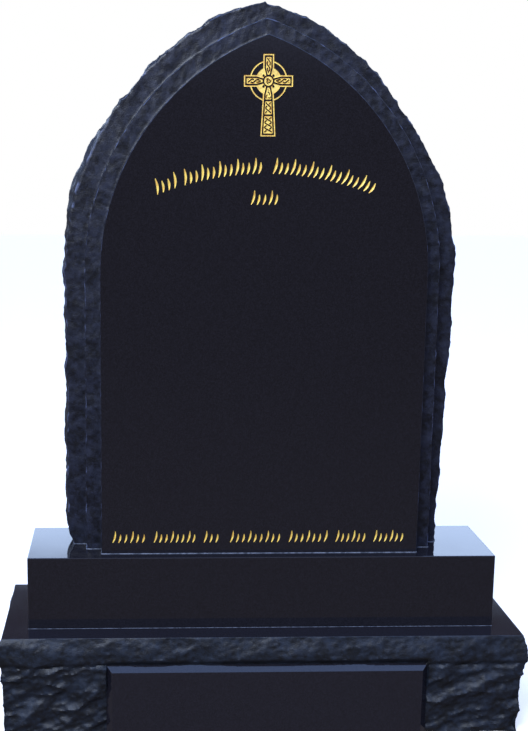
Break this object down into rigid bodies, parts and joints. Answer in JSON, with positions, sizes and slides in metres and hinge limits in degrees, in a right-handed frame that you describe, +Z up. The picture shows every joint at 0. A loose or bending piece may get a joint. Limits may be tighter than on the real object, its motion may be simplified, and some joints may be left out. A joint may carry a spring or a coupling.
{
  "type": "headstone",
  "caption": "Pointed-arch headstone of polished black granite with stepped edges and a gilded Celtic cross, on a plinth and a rock-pitched sub-base",
  "frame": {"origin": "on the ground under the middle of the sub-base", "axes": "+Z up, -Y the way the polished face looks, +X to the right of someone facing the stone"},
  "size_m": [1.0275, 0.329, 1.3993],
  "materials": {
    "sub_base_granite": "black granite, rock-pitched and rough, with a polished top and front panel",
    "plinth_granite": "black granite, polished to a mirror gloss",
    "tablet_granite": "black granite, polished face and pitched edges, with gold leaf in the cross and strokes"
  },
  "bodies": {
    "root": {"sub_base": "sub_base_granite", "plinth": "plinth_granite", "tablet": "tablet_granite"}
  },
  "joints": []
}
